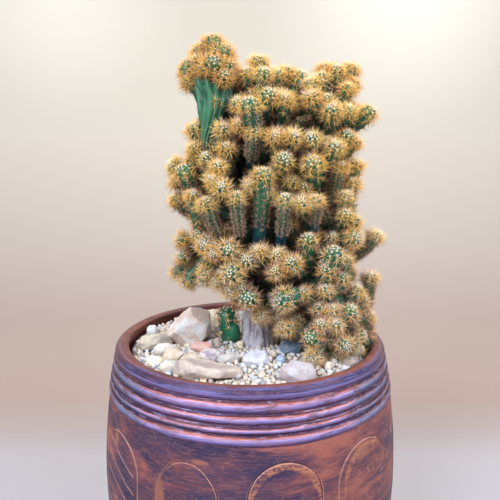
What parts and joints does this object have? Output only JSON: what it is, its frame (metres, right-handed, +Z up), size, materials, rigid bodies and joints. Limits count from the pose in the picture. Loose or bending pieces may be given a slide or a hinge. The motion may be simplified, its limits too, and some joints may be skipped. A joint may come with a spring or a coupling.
{
  "type": "potted monstrose column cactus",
  "caption": "Knobbly monstrose column cactus with golden spines and a crested stem, on a short corky trunk in a turned clay pot dressed with pale grit and stones.",
  "frame": {"origin": "centre of the pot's flat base", "axes": "+Z up the pot's axis, +X to the right and -Y to the front as pictured"},
  "size_m": [0.178, 0.178, 0.3352],
  "materials": {
    "patinated_clay": "unglazed clay under a brushed purple-brown patina with a soft lavender sheen, worn to clay on edges",
    "potting_soil": "dark crumbly potting mix",
    "pale_grit": "matt pale grit",
    "cream_stone": "matt cream stone with pink stains",
    "white_stone": "smooth white stone",
    "veined_stone": "matt stone with purple-pink veins",
    "pink_stone": "matt salmon-pink stone",
    "slate_stone": "blue-grey stone",
    "corky_bark": "rough grey-brown cork",
    "spiny_green_flesh": "satin green to blue-green flesh under golden spines with white wool at their feet",
    "offset_green_flesh": "satin deep green flesh"
  },
  "bodies": {
    "root": {"pot": "patinated_clay", "potting_soil": "potting_soil", "gravel_bed": "pale_grit", "corky_trunk": "corky_bark", "cactus_branches": "spiny_green_flesh", "basal_offset": "offset_green_flesh", "boulder_cream": "cream_stone", "stone_cream_back": "cream_stone", "rock_long_veined": "veined_stone", "block_white": "white_stone", "cobble_bluewhite": "white_stone", "slate_by_trunk": "slate_stone", "slab_left": "cream_stone", "pebble_white_rim": "white_stone", "pebble_white_small": "white_stone", "wedge_white": "white_stone", "pebble_cream": "cream_stone", "pebble_yellow": "cream_stone", "pebble_white_front": "white_stone", "stone_pink": "pink_stone", "wedge_tan": "cream_stone", "stone_lilac": "veined_stone", "stone_grey_long": "slate_stone", "pebble_blue": "slate_stone", "pebble_pink": "pink_stone", "rock_cream_right": "cream_stone", "rubble_right": "cream_stone", "pebble_upright": "white_stone", "stone_back_left": "cream_stone", "stone_back_right": "veined_stone"}
  },
  "joints": []
}
